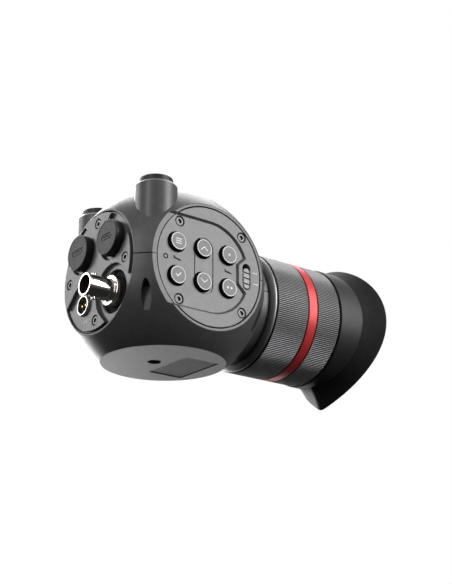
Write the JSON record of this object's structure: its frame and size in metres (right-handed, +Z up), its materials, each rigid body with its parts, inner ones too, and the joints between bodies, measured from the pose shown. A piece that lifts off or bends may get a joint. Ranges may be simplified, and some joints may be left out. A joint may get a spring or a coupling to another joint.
{
  "type": "electronic viewfinder",
  "caption": "Ball-shaped electronic viewfinder with keypad, port panel and rubber caps, bayonet coax jack, knurled focus tube with red ring, and a flared rubber eyecup.",
  "frame": {"origin": "point on the flat base face directly under the centre of the ball, between the tripod hole and the label recess", "axes": "+Z up from the base, +Y along the viewing tube towards the eyecup, +X out of the keypad face; the port panel faces -Y"},
  "size_m": [0.0687, 0.152, 0.0788],
  "materials": {
    "housing": "satin dark grey, fine texture",
    "panel": "satin mid grey",
    "rubber": "matte black",
    "key": "satin grey with pale printed marks",
    "screw_steel": "blackened steel",
    "nickel": "bright nickel plate",
    "gold_contact": "gold-plated contact",
    "brass": "machined thread insert",
    "index_alloy": "satin anodised grey",
    "grip_alloy": "finely knurled anodised grey",
    "red_anodised": "red anodised",
    "black_plastic": "matte black",
    "lens_glass": "coated glass",
    "board": "green circuit board",
    "screen": "glossy black display",
    "label": "dark grey label film"
  },
  "bodies": {
    "housing": {"upper_shell": "housing", "lower_shell": "housing", "key_plate": "panel", "side_cover": "panel", "port_panel": "panel", "key_screw_1": "screw_steel", "key_screw_2": "screw_steel", "key_screw_3": "screw_steel", "key_screw_4": "screw_steel", "side_screw_1": "screw_steel", "side_screw_2": "screw_steel", "side_screw_3": "screw_steel", "side_screw_4": "screw_steel", "port_screw_1": "screw_steel", "port_screw_2": "screw_steel", "port_screw_3": "screw_steel", "port_screw_4": "screw_steel", "video_socket": "screw_steel", "data_socket": "screw_steel", "coax_jack": "nickel", "coax_insulator": "black_plastic", "coax_pin": "gold_contact", "power_socket": "nickel", "power_insulator": "black_plastic", "power_pin_1": "gold_contact", "power_pin_2": "gold_contact", "tripod_insert": "brass", "base_label": "label", "post_pad_left": "rubber", "post_pad_right": "rubber", "post_insert_left": "brass", "post_insert_right": "brass", "barrel": "black_plastic", "index_ring": "index_alloy", "eyepiece_ring": "black_plastic", "eye_window": "lens_glass", "display_panel": "screen", "display_frame": "black_plastic", "main_board": "board", "port_board": "board", "key_board": "board"},
    "focus_ring": {"focus_sleeve": "black_plastic", "front_grip": "grip_alloy", "red_ring": "red_anodised", "rear_grip": "grip_alloy"},
    "lens_carrier": {"lens_carrier": "black_plastic", "front_lens": "lens_glass", "rear_lens": "lens_glass", "lens_retainer": "black_plastic"},
    "eyecup": {"eyecup": "rubber"},
    "menu_button": {"menu_button": "key"},
    "ok_button": {"ok_button": "key"},
    "up_button": {"up_button": "key"},
    "down_button": {"down_button": "key"},
    "function_button_1": {"function_button_1": "key"},
    "function_button_2": {"function_button_2": "key"},
    "lock_slider": {"lock_slider": "key"},
    "video_cap": {"video_cap": "rubber"},
    "data_cap": {"data_cap": "rubber"}
  },
  "joints": [
    {"name": "focus_turn", "type": "hinge", "parent": "housing", "child": "focus_ring", "pos_m": [0, 0.0605, 0.0316], "axis": [0, 1, 0], "range_deg": [-60, 60]},
    {"name": "lens_travel", "type": "slide", "parent": "housing", "child": "lens_carrier", "axis": [0, 1, 0], "range_m": [-0.0031, 0.0031]},
    {"name": "eyecup_turn", "type": "hinge", "parent": "housing", "child": "eyecup", "pos_m": [0, 0.09, 0.0316], "axis": [0, 1, 0], "continuous": true},
    {"name": "menu_button_press", "type": "slide", "parent": "housing", "child": "menu_button", "axis": [-1, 0, 0], "range_m": [0, 0.0006], "stiffness_N_per_m": 1200, "springref_m": -0.0003},
    {"name": "ok_button_press", "type": "slide", "parent": "housing", "child": "ok_button", "axis": [-1, 0, 0], "range_m": [0, 0.0006], "stiffness_N_per_m": 1200, "springref_m": -0.0003},
    {"name": "up_button_press", "type": "slide", "parent": "housing", "child": "up_button", "axis": [-1, 0, 0], "range_m": [0, 0.0006], "stiffness_N_per_m": 1200, "springref_m": -0.0003},
    {"name": "down_button_press", "type": "slide", "parent": "housing", "child": "down_button", "axis": [-1, 0, 0], "range_m": [0, 0.0006], "stiffness_N_per_m": 1200, "springref_m": -0.0003},
    {"name": "function_button_1_press", "type": "slide", "parent": "housing", "child": "function_button_1", "axis": [-1, 0, 0], "range_m": [0, 0.0006], "stiffness_N_per_m": 1200, "springref_m": -0.0003},
    {"name": "function_button_2_press", "type": "slide", "parent": "housing", "child": "function_button_2", "axis": [-1, 0, 0], "range_m": [0, 0.0006], "stiffness_N_per_m": 1200, "springref_m": -0.0003},
    {"name": "lock_slide", "type": "slide", "parent": "housing", "child": "lock_slider", "axis": [0, 0, 1], "range_m": [0, 0.0016]},
    {"name": "video_cap_pull", "type": "slide", "parent": "housing", "child": "video_cap", "axis": [0, -1, 0], "range_m": [0, 0.01]},
    {"name": "data_cap_pull", "type": "slide", "parent": "housing", "child": "data_cap", "axis": [0, -1, 0], "range_m": [0, 0.01]}
  ],
  "couplings": [
    {"joint": "lens_travel", "follows": "focus_turn", "m_per_rad": 0.0028648}
  ]
}
